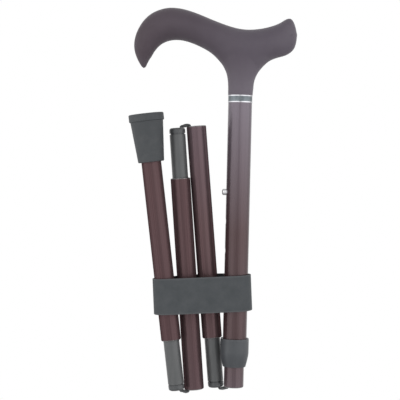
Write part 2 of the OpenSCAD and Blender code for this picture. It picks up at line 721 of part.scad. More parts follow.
// Lower sections
module section_tube(length) {
  color("rosybrown") rimmed_pipe(lower_r, lower_bore_r, connector_reach, connector_reach + length);
}
module section_2_tube() { at_2() section_tube(tube_2_len); }
module section_3_tube() { at_3() section_tube(tube_3_len); }
module section_4_tube() { at_4() section_tube(tube_4_len); }
module connector_1() { color("black") at_2() connector(); }
module connector_2() { color("black") at_3() connector(); }
module connector_3() { color("black") at_4() connector(); }
module connector_cap_1() { color("black") at_2() connector_cap(); }
module connector_cap_2() { color("black") at_3() connector_cap(); }
module connector_cap_3() { color("black") at_4() connector_cap(); }

// Ferrule on the fourth tube, with ring grooves in its tread and a washer under the tube
groove_top_share = 0.18;    // depth of a tread groove as a share of the rubber's thickness
groove_pitch_share = 0.25;  // distance between tread grooves as a share of the tread's radius
edge_share = 0.08;          // rounding of the flange as a share of its height
module ferrule() {
  tread_r = tread_d / 2;
  edge = edge_share * tread_h;
  mouth_t = tread_at - ferrule_len;
  pitch = groove_pitch_share * tread_r;
  depth = groove_top_share * tread_t;
  color("black")
    at_4()
      difference() {
        rotate_extrude()
          polygon([
            [0, tread_at], [tread_r - edge, tread_at], [tread_r, tread_at - edge],
            [tread_r, tread_at - tread_h + edge], [ferrule_base_d / 2, tread_at - tread_h],
            [ferrule_top_d / 2, mouth_t + edge], [ferrule_top_d / 2 - edge, mouth_t],
            [0, mouth_t]
          ]);
        rod(lower_r + fit_gap, mouth_t - over, tread_at - tread_t);
        for (i = [1:tread_grooves])
          pipe(pitch * i + pitch / 3, pitch * i, tread_at - depth, tread_at + over);
      }
}
module ferrule_washer() {
  color("silver") at_4() rod(lower_r - fit_gap, foot_t, foot_t + washer_t);
}

// Storage band: a loop round the four tubes, level across its own lean
band_at = [0, 0, upper_end_z + band_rise];
band_up = lean(-band_tilt);
band_side = [cos(band_tilt), 0, sin(band_tilt)];
function band_spot(point, dir) =
  let (p = point - band_at, q = p - dir * (p * band_up) / (dir * band_up))
  [q * band_side, q.y];
function band_room(tilt) = band_gap + band_h / 2 * tan(abs(tilt - band_tilt));
band_spots = [
  [band_spot(mouth_1, down), upper_r + band_slack + band_room(0)],
  [band_spot(end_2, dir_2), lower_r + band_room(tilt_2)],
  [band_spot(end_3, dir_3), lower_r + band_room(tilt_3)],
  [band_spot(end_4, dir_4), lower_r + band_room(tilt_4)]
];
module band_outline(grow) {
  hull()
    for (s = band_spots)
      translate(s[0]) circle(r = s[1] + grow, $fn = 32);
}
module storage_band() {
  color("darkslategray")
    translate(band_at) rotate([0, -band_tilt, 0])
      translate([0, 0, -band_h / 2])
        linear_extrude(band_h)
          difference() {
            band_outline(band_t);
            band_outline(0);
          }
}

handle_grip();
handle_insert();
handle_bolt();
handle_spigot();
trim_ring_upper();
trim_band();
trim_ring_lower();
upper_tube();
lock_bush();
lock_ring();
lock_collar();
inner_tube();
inner_tube_guide();
snap_button();
button_spring();
cord_anchor_top();
cord_knot_top();
cord_run_1();
cord_bend_1();
section_2_tube();
connector_1();
connector_cap_1();
cord_run_2();
cord_bend_2();
section_3_tube();
connector_2();
connector_cap_2();
cord_run_3();
cord_bend_3();
section_4_tube();
connector_3();
connector_cap_3();
cord_run_4();
cord_anchor_bottom();
cord_knot_bottom();
ferrule();
ferrule_washer();
storage_band();
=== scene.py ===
"""Looks of a folding cane with a derby handle, folded in four and held by its elastic band."""

import math

import bpy
import numpy as np
from mathutils import Matrix, Vector


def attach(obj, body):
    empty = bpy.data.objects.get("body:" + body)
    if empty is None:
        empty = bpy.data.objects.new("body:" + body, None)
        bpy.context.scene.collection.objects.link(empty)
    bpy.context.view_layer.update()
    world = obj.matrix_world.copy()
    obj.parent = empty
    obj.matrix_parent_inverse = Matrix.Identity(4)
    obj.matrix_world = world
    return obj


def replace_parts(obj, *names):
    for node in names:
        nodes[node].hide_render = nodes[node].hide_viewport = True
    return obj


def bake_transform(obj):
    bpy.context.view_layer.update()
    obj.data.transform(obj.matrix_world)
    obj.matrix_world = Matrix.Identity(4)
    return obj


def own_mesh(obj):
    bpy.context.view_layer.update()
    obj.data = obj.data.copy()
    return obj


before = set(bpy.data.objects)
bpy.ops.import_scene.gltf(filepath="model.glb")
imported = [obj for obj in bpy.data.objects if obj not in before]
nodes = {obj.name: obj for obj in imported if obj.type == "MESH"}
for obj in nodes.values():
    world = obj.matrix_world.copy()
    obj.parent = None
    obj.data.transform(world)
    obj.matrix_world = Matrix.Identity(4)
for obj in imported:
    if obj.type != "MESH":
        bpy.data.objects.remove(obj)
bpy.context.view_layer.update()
scene = bpy.context.scene
scene.view_settings.view_transform = "Standard"

# Sizes in millimetres and angles in degrees, the same as the solid model's
MM = 0.001
HANDLE_LEN, HANDLE_H, HANDLE_W, NECK_D, SADDLE_SHARE = 138.0, 73.0, 30.4, 20.8, 0.763
TRIM_H, UPPER_LEN, INNER_OUT, BUTTON_DROP = 6.2, 206.4, 35.8, 76.0
COLLAR_OVER, COLLAR_GRIP_LEN = 6.0, 12.0
NECK_Z = -SADDLE_SHARE * HANDLE_H
UPPER_TOP = NECK_Z - TRIM_H
UPPER_END = UPPER_TOP - UPPER_LEN
INNER_END = UPPER_END - INNER_OUT
BUTTON_Z = UPPER_TOP - BUTTON_DROP
COLLAR_TOP = UPPER_END + COLLAR_OVER
UPPER_R, LOWER_R, BORE_R, COLLAR_R = 10.1, 8.4, 7.0, 12.1
REACH, TUBES, ENTRY_GAP = 42.8, (182.5, 181.4, 187.0), 3.0
TILTS, STAGGERS, DROPS, SECTION_GAP = (5.6, 5.0, 7.6), (31.4, 18.5, 32.4), (2.2, 2.2, -0.5), 0.6
TURNS = (-TILTS[0], 180 - TILTS[1], -TILTS[2])
CAP_LEN, CAP_MOUTH_R = 4.6, 4.6
CORD_R, BEND_IN, FIT_GAP = 1.1, 18.0, 0.05
FLANGE_D, KNOT_LEN, ANCHOR_LEN = 6.6, 5.0, 5.0
BAND_H, BAND_T, BAND_GAP, BAND_SLACK, BAND_TILT, BAND_RISE = 30.5, 1.2, 0.4, 0.8, 3.6, 45.0


# Where the folded sections lie
def lean(angle):
    """Upward direction turned by an angle towards +X."""
    a = math.radians(angle)
    return np.array([math.sin(a), 0.0, math.cos(a)])


def polar(reach, angle):
    """Sideways and backward parts of a reach at an angle."""
    a = math.radians(angle)
    return reach * math.cos(a), reach * math.sin(a)


def unit(v):
    return v / np.linalg.norm(v)


DOWN = np.array([0.0, 0.0, -1.0])
DIRS = [lean(t) for t in TURNS]
slopes = [math.tan(math.radians(t)) for t in TILTS]
mouths = [np.array([0.0, 0.0, INNER_END])]
side, back = polar(COLLAR_R + LOWER_R + SECTION_GAP, STAGGERS[0])
cap_z = INNER_END - DROPS[0]
caps = [np.array([(COLLAR_TOP - COLLAR_GRIP_LEN - cap_z) * slopes[0] - side, back, cap_z])]
mouths.append(caps[0] + (REACH + TUBES[0]) * DIRS[0])
side, back = polar(2 * LOWER_R + SECTION_GAP, STAGGERS[1])
cap_z = mouths[1][2] - DROPS[1]
caps.append(np.array([caps[0][0] - (cap_z - caps[0][2]) * slopes[0] - side, caps[0][1] - back, cap_z]))
mouths.append(caps[1] + (REACH + TUBES[1]) * DIRS[1])
side, back = polar(2 * LOWER_R + SECTION_GAP, STAGGERS[2])
caps.append(mouths[2] + np.array([DROPS[2] * slopes[2] - side, -back, -DROPS[2]]))
OUTS = [DOWN, DIRS[0], DIRS[1]]


# Node trees
def linear(r, g, b):
    """Colour in linear light from sRGB levels of 0 to 255."""
    levels = [((c / 255 + 0.055) / 1.055) ** 2.4 if c > 10 else c / 255 / 12.92 for c in (r, g, b)]
    return (*levels, 1.0)


class Tree:
    """A material's nodes, with short calls that add and link them."""

    def __init__(self, name):
        self.material = bpy.data.materials.new(name)
        self.material.use_nodes = True
        self.tree = self.material.node_tree
        self.shader = self.tree.nodes["Principled BSDF"]

    def add(self, kind, inputs, **settings):
        made = self.tree.nodes.new(kind)
        for key, value in settings.items():
            setattr(made, key, value)
        for key, value in inputs.items():
            self.put(made.inputs[key], value)
        return made

    def put(self, socket, value):
        if isinstance(value, bpy.types.NodeSocket):
            self.tree.links.new(value, socket)
        else:
            socket.default_value = value

    def coords(self, kind="Object"):
        return self.add("ShaderNodeTexCoord", {}).outputs[kind]

    def math(self, operation, a, b=0.0, c=0.0):
        return self.add("ShaderNodeMath", {0: a, 1: b, 2: c}, operation=operation).outputs[0]

    def scaled(self, vector, factors):
        return self.add("ShaderNodeVectorMath", {0: vector, 1: factors}, operation="MULTIPLY").outputs[0]

    def noise(self, vector, scale, detail, roughness):
        inputs = {"Vector": vector, "Scale": scale, "Detail": detail, "Roughness": roughness}
        return self.add("ShaderNodeTexNoise", inputs).outputs["Fac"]

    def ramp(self, factor, *stops):
        made = self.add("ShaderNodeValToRGB", {"Fac": factor})
        elements = made.color_ramp.elements
        while len(elements) < len(stops):
            elements.new(0.5)
        for element, (place, colour) in zip(elements, stops):
            element.position, element.color = place, colour
        return made.outputs["Color"]

    def between(self, value, low, high, to_low=0.0, to_high=1.0):
        inputs = {"Value": value, "From Min": low, "From Max": high, "To Min": to_low, "To Max": to_high}
        return self.add("ShaderNodeMapRange", inputs).outputs[0]

    def mix(self, factor, a, b):
        """Mix of two colours, whose sockets come after those for numbers and vectors."""
        made = self.add("ShaderNodeMix", {"Factor": factor}, data_type="RGBA")
        self.put(made.inputs[6], a)
        self.put(made.inputs[7], b)
        return made.outputs[2]

    def bump(self, height, strength, distance):
        inputs = {"Height": height, "Strength": strength, "Distance": distance}
        return self.add("ShaderNodeBump", inputs).outputs["Normal"]

    def finish(self, **values):
        for key, value in values.items():
            self.put(self.shader.inputs[key.replace("_", " ")], value)
        return self.material


# Finishes, with their depths and pitches in millimetres
LACQUER = ((0.36, (71, 51, 53)), (0.47, (78, 58, 60)), (0.56, (83, 63, 65)), (0.68, (90, 70, 72)))
# The first colour is the pale violet of a painted highlight, a painted reflection of light on the tubes.
HIGHLIGHT_TINT, BARE_DEPTH, COAT_DEPTH = (134, 128, 140), 0.14, 0.05
BRAID_PITCH, BRAID_STRANDS = 1.6, 6
RIB_PITCH, WEFT_PITCH, SELVEDGE = 0.9, 0.7, (13.6, 14.6)


def wear(t, coords):
    """Patches where a hand has rubbed the finish."""
    return t.between(t.noise(coords, 90.0, 4.0, 0.6), 0.35, 0.7)


def grip_material():
    """Soft-touch coat: fine sandy grain, faint mottling and a sheen at grazing angles, with painted shade
    darkening the nose and painted light paling the lower part towards the neck.
    """
    t = Tree("grip_soft_touch")
    coords = t.coords()
    grain = t.noise(coords, 2400.0, 3.0, 0.6)
    mottle = t.noise(coords, 34.0, 4.0, 0.55)
    place = t.add("ShaderNodeSeparateXYZ", {0: coords})
    # Painted shade: the nose end is darker and browner, blending into the body along the handle's length.
    lengthwise = t.between(place.outputs["X"], -0.085, 0.01)
    # Painted light: the lower part, towards the neck, is mixed towards a paler colour.
    low = t.between(place.outputs["Z"], -0.022, -0.05, 0.0, 0.6)
    nose = t.ramp(mottle, (0.3, linear(78, 67, 74)), (0.7, linear(87, 76, 84)))
    body = t.ramp(mottle, (0.3, linear(94, 86, 97)), (0.7, linear(103, 96, 106)))
    rough = t.between(t.math("MULTIPLY_ADD", wear(t, coords), 0.4, grain), 0.3, 1.1, 0.62, 0.5)
    return t.finish(
        Base_Color=t.mix(low, t.mix(lengthwise, nose, body), linear(126, 118, 128)),
        Roughness=rough,
        Normal=t.bump(grain, 0.12, 0.0002),
        Specular_IOR_Level=0.3,
        Sheen_Weight=0.12,
        Sheen_Roughness=0.45,
    )


def tube_material(name, origin, turn, outer_r, painted_highlight, lift=0, gloss=0.4, edge=1.0):
    """Brown lacquer with fine lengthwise streaks, bare aluminium at the rim and in the bore.

    The painted highlight is (height where it starts, height where it is full, its strength) along the tube:
    a pale violet painted reflection of light.
    """
    t = Tree(name)
    inputs = {"Vector": t.coords(), "Location": [c * MM for c in origin]}
    inputs["Rotation"] = (0.0, math.radians(turn), 0.0)
    local = t.add("ShaderNodeMapping", inputs, vector_type="TEXTURE").outputs[0]
    drawn = t.scaled(local, (1.0, 1.0, 0.006))
    broad = t.noise(drawn, 300.0, 2.0, 0.5)
    fine = t.noise(drawn, 1300.0, 4.0, 0.65)
    streak = t.math("MULTIPLY_ADD", fine, 0.45, t.math("MULTIPLY", broad, 0.55))
    # The lift raises the lacquer's levels: a lighter copy of the same lacquer, painted light.
    lacquer = t.ramp(streak, *((place, linear(*(c + lift for c in colour))) for place, colour in LACQUER))
    height = t.add("ShaderNodeSeparateXYZ", {0: local}).outputs["Z"]
    # Painted highlight: the lacquer turns pale violet along the given stretch of the tube.
    highlight_mask = t.between(height, painted_highlight[0] * MM, painted_highlight[1] * MM, 0.0, painted_highlight[2])
    lacquer = t.mix(highlight_mask, lacquer, linear(*HIGHLIGHT_TINT))
    scratch = t.noise(t.scaled(local, (1.0, 1.0, 9.0)), 160.0, 5.0, 0.7)
    bare = t.between(scratch, 0.3, 0.7, 0.28, 0.42)
    metal = t.add("ShaderNodeCombineColor", {0: bare, 1: bare, 2: bare}).outputs[0]
    across = t.scaled(local, (1.0, 1.0, 0.0))
    radius = t.add("ShaderNodeVectorMath", {0: across}, operation="LENGTH").outputs["Value"]
    coated = t.between(radius, (outer_r - BARE_DEPTH) * MM, (outer_r - COAT_DEPTH) * MM)
    return t.finish(
        Base_Color=t.mix(coated, metal, lacquer),
        Metallic=t.between(coated, 0.0, 1.0, 0.9, 0.3),
        Roughness=t.between(streak, 0.36, 0.68, 0.25, 0.31),
        Normal=t.bump(fine, 0.04, 0.0001),
        Specular_IOR_Level=gloss,
        Specular_Tint=(edge, edge, edge, 1.0),
    )


def plastic_material(name, dark, light, rough):
    """Moulded plastic: satin grain, faint flow marks and rubbed patches."""
    t = Tree(name)
    coords = t.coords()
    grain = t.noise(coords, 1900.0, 2.0, 0.5)
    flow = t.noise(t.scaled(coords, (1.0, 1.0, 0.12)), 180.0, 4.0, 0.6)
    return t.finish(
        Base_Color=t.ramp(flow, (0.3, linear(*dark)), (0.7, linear(*light))),
        Roughness=t.between(wear(t, coords), 0.0, 1.0, rough, rough - 0.1),
        Normal=t.bump(grain, 0.14, 0.00015),
        Specular_IOR_Level=0.45,
    )


def rubber_material():
    """Rubber with a coarse grain and dusty patches."""
    t = Tree("ferrule_rubber")
    coords = t.coords()
    grain = t.noise(coords, 1500.0, 4.0, 0.65)
    dust = t.between(t.noise(coords, 70.0, 5.0, 0.65), 0.45, 0.8)
    return t.finish(
        Base_Color=t.mix(dust, linear(74, 77, 80), linear(88, 90, 92)),
        Roughness=t.between(grain, 0.3, 0.7, 0.55, 0.72),
        Normal=t.bump(grain, 0.2, 0.0002),
        Specular_IOR_Level=0.4,
    )


def turned_material(name, dark, light, rough, pitch, edge=1.0):
    """Metal turned on a lathe: fine rings round the tube's axis."""
    t = Tree(name)
    coords = t.coords()
    rings = t.noise(t.scaled(coords, (0.02, 0.02, 1.0)), 1 / MM / pitch, 3.0, 0.6)
    smear = t.noise(coords, 220.0, 3.0, 0.5)
    return t.finish(
        Base_Color=t.ramp(smear, (0.3, linear(*dark)), (0.7, linear(*light))),
        Metallic=1.0,
        Roughness=t.between(rings, 0.3, 0.7, rough - 0.05, rough + 0.07),
        Normal=t.bump(rings, 0.1, 0.00005),
        Specular_Tint=(edge, edge, edge, 1.0),
    )


def braid_material():
    """Braided cord sleeve: two sets of strands that cross along the cord."""
    t = Tree("cord_braid")
    uv = t.add("ShaderNodeSeparateXYZ", {0: t.coords("UV")})
    along = t.math("MULTIPLY", uv.outputs["X"], 2 * math.pi / BRAID_PITCH)
    turn = t.math("MULTIPLY", uv.outputs["Y"], 2 * math.pi * BRAID_STRANDS)
    left = t.math("SINE", t.math("ADD", along, turn))
    right = t.math("SINE", t.math("SUBTRACT", along, turn))
    weave = t.between(t.math("MAXIMUM", left, right), -0.2, 1.0)
    return t.finish(
        Base_Color=t.ramp(weave, (0.0, linear(52, 53, 55)), (1.0, linear(104, 105, 106))),
        Roughness=t.between(weave, 0.0, 1.0, 0.9, 0.65),
        Normal=t.bump(weave, 0.6, 0.0002),
        Specular_IOR_Level=0.25,
        Sheen_Weight=0.2,
    )


def elastic_material():
    """Woven elastic: fine ribs across the strap, weft rows along it, a soft mottle, paler selvedges."""
    t = Tree("band_elastic")
    uv = t.coords("UV")
    parts = t.add("ShaderNodeSeparateXYZ", {0: uv})
    rib = t.math("SINE", t.math("MULTIPLY", parts.outputs["X"], 2 * math.pi / RIB_PITCH))
    weft = t.math("SINE", t.math("MULTIPLY", parts.outputs["Y"], 2 * math.pi / WEFT_PITCH))
    cloth = t.between(t.math("MULTIPLY_ADD", rib, 0.6, t.math("MULTIPLY", weft, 0.4)), -1.0, 1.0)
    mottle = t.noise(uv, 0.09, 4.0, 0.6)
    shade = t.math("MULTIPLY_ADD", cloth, 0.18, mottle)
    selvedge = t.between(t.math("ABSOLUTE", parts.outputs["Y"]), *SELVEDGE)
    colour = t.ramp(shade, (0.35, linear(77, 81, 84)), (0.8, linear(90, 93, 96)))
    return t.finish(
        Base_Color=t.mix(t.math("MULTIPLY", selvedge, 0.35), colour, linear(112, 114, 116)),
        Roughness=t.between(cloth, 0.0, 1.0, 0.82, 0.68),
        Normal=t.bump(cloth, 0.22, 0.00012),
        Specular_IOR_Level=0.25,
        Sheen_Weight=0.08,
        Sheen_Roughness=0.4,
    )


# Each tube's triple of heights and strength places its painted highlight.
TUBE_1 = tube_material("tube_upper", (0.0, 0.0, UPPER_END), 0.0, UPPER_R, (96.0, 200.0, 0.6))
# The inner and lower tubes take lighter copies of the same lacquer through their lifts: painted light.
TUBE_IN = tube_material("tube_inner", (0.0, 0.0, INNER_END), 0.0, LOWER_R, (40.0, 0.0, 0.2), lift=5)
TUBE_LOW = [
    tube_material("tube_2", caps[0], TURNS[0], LOWER_R, (140.0, 220.0, 0.2), lift=24, gloss=0.0, edge=0.1),
    tube_material("tube_3", caps[1], TURNS[1], LOWER_R, (150.0, 220.0, 0.06), lift=18, gloss=0.0, edge=0.1),
    tube_material("tube_4", caps[2], TURNS[2], LOWER_R, (150.0, 220.0, 0.0), lift=15, gloss=0.0, edge=0.1),
]
PLASTIC = plastic_material("connector_plastic", (91, 93, 94), (104, 105, 106), 0.42)
CAP = plastic_material("cap_plastic", (80, 82, 84), (93, 94, 96), 0.4)
COLLAR = plastic_material("collar_plastic", (72, 75, 79), (84, 87, 91), 0.46)
BRIGHT = turned_material("trim_bright", (176, 176, 180), (204, 204, 208), 0.24, 0.3)
GREY = turned_material("trim_grey", (92, 98, 102), (114, 120, 124), 0.36, 0.5)
BUTTON = turned_material("button_steel", (206, 206, 208), (224, 224, 226), 0.3, 0.4, 0.02)
STEEL = turned_material("steel_plated", (196, 197, 200), (226, 227, 230), 0.16, 0.4)
BRASS = turned_material("brass_turned", (176, 140, 72), (204, 170, 98), 0.3, 0.5)
RUBBER = rubber_material()
GRIP = grip_material()
CORD = braid_material()
ELASTIC = elastic_material()


# Finishes of the CAD nodes that stay
def dress(material, *names):
    """Give each node's mesh this one material."""
    for name in names:
        mesh = nodes[name].data
        mesh.materials.clear()
        mesh.materials.append(material)


dress(TUBE_1, "upper_tube")
dress(TUBE_IN, "inner_tube")
for k in range(3):
    dress(TUBE_LOW[k], f"section_{k + 2}_tube")
    dress(PLASTIC, f"connector_{k + 1}")
    dress(CAP, f"connector_cap_{k + 1}")
dress(PLASTIC, "handle_spigot", "lock_bush", "lock_ring", "inner_tube_guide")
dress(PLASTIC, "cord_anchor_top", "cord_anchor_bottom")
dress(COLLAR, "lock_collar")
dress(BRIGHT, "trim_ring_upper", "trim_ring_lower")
dress(GREY, "trim_band")
dress(BUTTON, "snap_button")
dress(STEEL, "button_spring", "handle_bolt", "ferrule_washer")
dress(BRASS, "handle_insert")
dress(RUBBER, "ferrule")
dress(CORD, "cord_knot_top", "cord_knot_bottom")


# Pieces made from points in millimetres
def piece(name, points, faces, material, uvs=None):
    """Smooth mesh object, with a pair of texture coordinates for each corner of each face if given."""
    mesh = bpy.data.meshes.new(name)
    mesh.from_pydata([tuple(float(c) * MM for c in p) for p in points], [], faces)
    mesh.polygons.foreach_set("use_smooth", [True] * len(mesh.polygons))
    if uvs is not None:
        layer = mesh.uv_layers.new(name="weave")
        for polygon, corners in zip(mesh.polygons, uvs):
            for loop, corner in zip(polygon.loop_indices, corners):
                layer.data[loop].uv = corner
    mesh.materials.append(material)
    made = bpy.data.objects.new(name, mesh)
    scene.collection.objects.link(made)
    return made


# Handle: the solid model's stations with finer steps between them
NOSE = [
    [(-0.06, 0.7869), (-0.1796, 0.4755), (-0.102, 0.6287, 1)],
    [(-0.179, 0.8639), (-0.2562, 0.5561), (-0.207, 0.7173, 0.987)],
    [(-0.2848, 0.9414), (-0.3337, 0.6093), (-0.307, 0.7829, 0.974)],
    [(-0.3805, 0.9892), (-0.397, 0.6254), (-0.4, 0.8078, 0.954)],
    [(-0.469, 0.9898), (-0.4555, 0.6065), (-0.479, 0.7809, 0.908)],
    [(-0.564, 0.9142), (-0.4992, 0.559), (-0.543, 0.7083, 0.829)],
    [(-0.6226, 0.7872), (-0.5319, 0.4877), (-0.579, 0.6198, 0.737)],
    [(-0.6544, 0.6405), (-0.549, 0.4289), (-0.598, 0.5263, 0.632)],
    [(-0.6575, 0.5085), (-0.565, 0.3821), (-0.606, 0.4378, 0.5)],
    [(-0.6364, 0.3913), (-0.577, 0.3354), (-0.604, 0.3741, 0.342)],
    [(-0.609, 0.3085), (-0.585, 0.3045), (-0.602, 0.3483, 0.257)],
    [(-0.597, 0.2906), (-0.597, 0.2906), (-0.6, 0.3324, 0.211)],
]
TAIL = [
    [(0.088, 0.767), (0.1685, 0.3988), (0.084, 0.578, 0.974)],
    [(0.1611, 0.7937), (0.2224, 0.444), (0.157, 0.6158, 0.934)],
    [(0.2295, 0.8415), (0.2682, 0.4695), (0.215, 0.6476, 0.868)],
    [(0.2743, 0.8947), (0.3003, 0.5044), (0.255, 0.6725, 0.789)],
    [(0.3011, 0.8964), (0.322, 0.5492), (0.28, 0.6844, 0.697)],
    [(0.3225, 0.8354), (0.3332, 0.6066), (0.292, 0.6914, 0.632)],
    [(0.34, 0.7113), (0.34, 0.7113), (0.298, 0.6974, 0.592)],
]
NECK = [
    [(-0.1032, 0.3131), (0.0992, 0.2447), (0, 0.3413, 0.855)],
    [(-0.085, 0.2329), (0.084, 0.1703), (0, 0.225, 0.763)],
    [(-0.077, 0.1285), (0.079, 0.0827), (0, 0.1086, 0.704)],
]
CENTRE, SADDLE = (-0.005, 0.5392, 1), (0.02, 0.762)
CROTCH_NOSE, CROTCH_TAIL = (-0.1224, 0.3676), (0.1148, 0.2919)
STATION_STEPS, SECTION_STEPS = 9, 14
EASE_PASSES, SHARP_REACH, EASE_REACH = 8, 4.0, 8.0


def share_point(share):
    """Point in millimetres from shares of the handle's length, its height and, if given, its half width."""
    point = [share[0] * HANDLE_LEN, NECK_Z + share[1] * HANDLE_H]
    return np.array(point + [share[2] * HANDLE_W / 2] if len(share) > 2 else point)


def curve(points):
    """Smooth line through the points after the first, which only gives it its start direction."""
    made = []
    for i in range(len(points) - 2):
        a, b, c = points[i : i + 3]
        d = points[i + 3] if i + 3 < len(points) else 2 * c - b
        before, here, after = (math.sqrt(np.linalg.norm(q - p)) for p, q in ((a, b), (b, c), (c, d)))
        leave = here * ((b - a) / before - (c - a) / (before + here)) + c - b
        arrive = here * ((d - c) / after - (d - b) / (here + after)) + c - b
        for k in range(STATION_STEPS):
            u = k / STATION_STEPS
            bend = u * (1 - u)
            made.append(b + (c - b) * u * u * (3 - 2 * u) + bend * ((1 - u) * leave - u * arrive))
    return made + [points[-1]]


def eased(line, hard_spots):
    """Line with its small unevenness smoothed away, except near the spots that stay sharp."""
    line = np.array(line)
    away = np.min([np.linalg.norm(line - spot, axis=1) for spot in hard_spots], axis=0)
    share = np.clip((away[1:-1, None] - SHARP_REACH) / EASE_REACH, 0, 1)
    for _ in range(EASE_PASSES):
        middle = (line[:-2] + 2 * line[1:-1] + line[2:]) / 4
        line[1:-1] += share * (middle - line[1:-1])
    return line


def make_handle():
    """Skin from the handle's outline round to its widest line on each side, closed at the neck."""
    nose, tail, neck = ([[share_point(s) for s in row] for row in rows] for rows in (NOSE, TAIL, NECK))
    half = NECK_D / 2
    neck.append([np.array([-half, NECK_Z]), np.array([half, NECK_Z]), np.array([0.0, NECK_Z, half])])
    centre, saddle = share_point(CENTRE), share_point(SADDLE)
    crotch_nose, crotch_tail = share_point(CROTCH_NOSE), share_point(CROTCH_TAIL)
    nose_top = curve([tail[0][0], saddle] + [s[0] for s in nose])
    nose_under = curve([neck[0][0], crotch_nose] + [s[1] for s in nose])
    nose_ridge = curve([tail[0][2], centre] + [s[2] for s in nose])
    tail_top = curve([nose[0][0], saddle] + [s[0] for s in tail])
    tail_under = curve([neck[0][1], crotch_tail] + [s[1] for s in tail])
    tail_ridge = curve([nose[0][2], centre] + [s[2] for s in tail])
    neck_nose = curve([nose[0][1], crotch_nose] + [s[0] for s in neck])
    neck_tail = curve([tail[0][1], crotch_tail] + [s[1] for s in neck])
    neck_ridge = curve([2 * centre - neck[0][2], centre] + [s[2] for s in neck])
    outline = neck_tail[::-1] + tail_under[1:] + tail_top[-2::-1]
    outline += nose_top[1:] + nose_under[-2::-1] + neck_nose[1:]
    ridges = neck_ridge[::-1] + tail_ridge[1:] + tail_ridge[-2::-1]
    ridges += nose_ridge[1:] + nose_ridge[-2::-1] + neck_ridge[1:]
    outline = eased(outline, (nose_top[-1], tail_top[-1], outline[0], outline[-1]))
    points, index, faces = [], {}, []

    def at(i, k, sign):
        o, r = outline[i], ridges[i]
        angle = math.pi / 2 * k / SECTION_STEPS
        x, z = r[0] + (o[0] - r[0]) * math.cos(angle), r[1] + (o[1] - r[1]) * math.cos(angle)
        p = (round(x, 5), round(sign * r[2] * math.sin(angle), 5), round(z, 5))
        if p not in index:
            index[p] = len(points)
            points.append(p)
        return index[p]

    for sign in (-1, 1):
        for i in range(len(outline) - 1):
            for k in range(SECTION_STEPS):
                corners = [at(i, k, sign), at(i, k + 1, sign), at(i + 1, k + 1, sign), at(i + 1, k, sign)]
                corners = [c for n, c in enumerate(corners) if c != corners[n - 1]]
                if len(set(corners)) > 2:
                    faces.append(corners if sign < 0 else corners[::-1])
    last, steps = len(outline) - 1, SECTION_STEPS
    rim = [at(0, k, -1) for k in range(steps, 0, -1)] + [at(0, k, 1) for k in range(steps)]
    rim += [at(0, steps, 1)] + [at(last, k, 1) for k in range(steps - 1, 0, -1)]
    rim += [at(last, 0, 1)] + [at(last, k, -1) for k in range(1, steps)]
    faces.append(rim)
    made = piece("handle_skin", points, faces, GRIP)
    made.data.polygons[len(faces) - 1].use_smooth = False
    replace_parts(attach(made, "handle_section"), "handle_grip")


make_handle()

# Elastic cord: one swept tube for each arch and each run
CORD_SIDES, RUN_POINTS = 16, 40
ARCH_STEPS = (14, 8, 12, 8, 10)
SPAN = 2  # which of these stretches goes from rim to lip
EDGE_GAP, ROUND_SHARE, ARCH_SWELL = 0.08, 0.55, 0.35
ARCH_RISES = ((0.4, 0.1), (0.0, 0.0), (0.0, 0.5))
PARENTS = ("inner_section", "section_2", "section_3")


def sweep(name, path, radius):
    """Tube round a path, closed at both ends, with its length and turn as texture coordinates."""
    path, sides = np.array(path), CORD_SIDES
    heading = np.gradient(path, axis=0)
    heading /= np.linalg.norm(heading, axis=1)[:, None]
    across = np.cross(heading[0], (0.3, 1.0, 0.2))
    lengths = np.concatenate([[0.0], np.cumsum(np.linalg.norm(np.diff(path, axis=0), axis=1))])
    points, faces, uvs = [], [], []
    for p, h, r in zip(path, heading, np.broadcast_to(radius, len(path))):
        across = unit(across - (across @ h) * h)
        up = np.cross(h, across)
        for s in range(sides):
            a = 2 * math.pi * s / sides
            points.append(p + r * (math.cos(a) * across + math.sin(a) * up))
    for i in range(len(path) - 1):
        for s in range(sides):
            n = (s + 1) % sides
            faces.append((i * sides + s, i * sides + n, (i + 1) * sides + n, (i + 1) * sides + s))
            u, v = (lengths[i], lengths[i + 1]), (s / sides, (s + 1) / sides)
            uvs.append(((u[0], v[0]), (u[0], v[1]), (u[1], v[1]), (u[1], v[0])))
    for first, order in ((0, -1), ((len(path) - 1) * sides, 1)):
        faces.append([first + s for s in range(sides)][::order])
        uvs.append([(0.0, s / sides) for s in range(sides)])
    return piece(name, points, faces, CORD, uvs)


def stretch(start, out, end, arrive, steps):
    """Points on a curve from the start up to the end, with its pulls out of one and into the other."""
    made = []
    for u in (k / steps for k in range(steps)):
        point = (1 - u) ** 3 * start + 3 * u * (1 - u) ** 2 * (start + out)
        made.append(point + 3 * u * u * (1 - u) * (end - arrive) + u**3 * end)
    return made


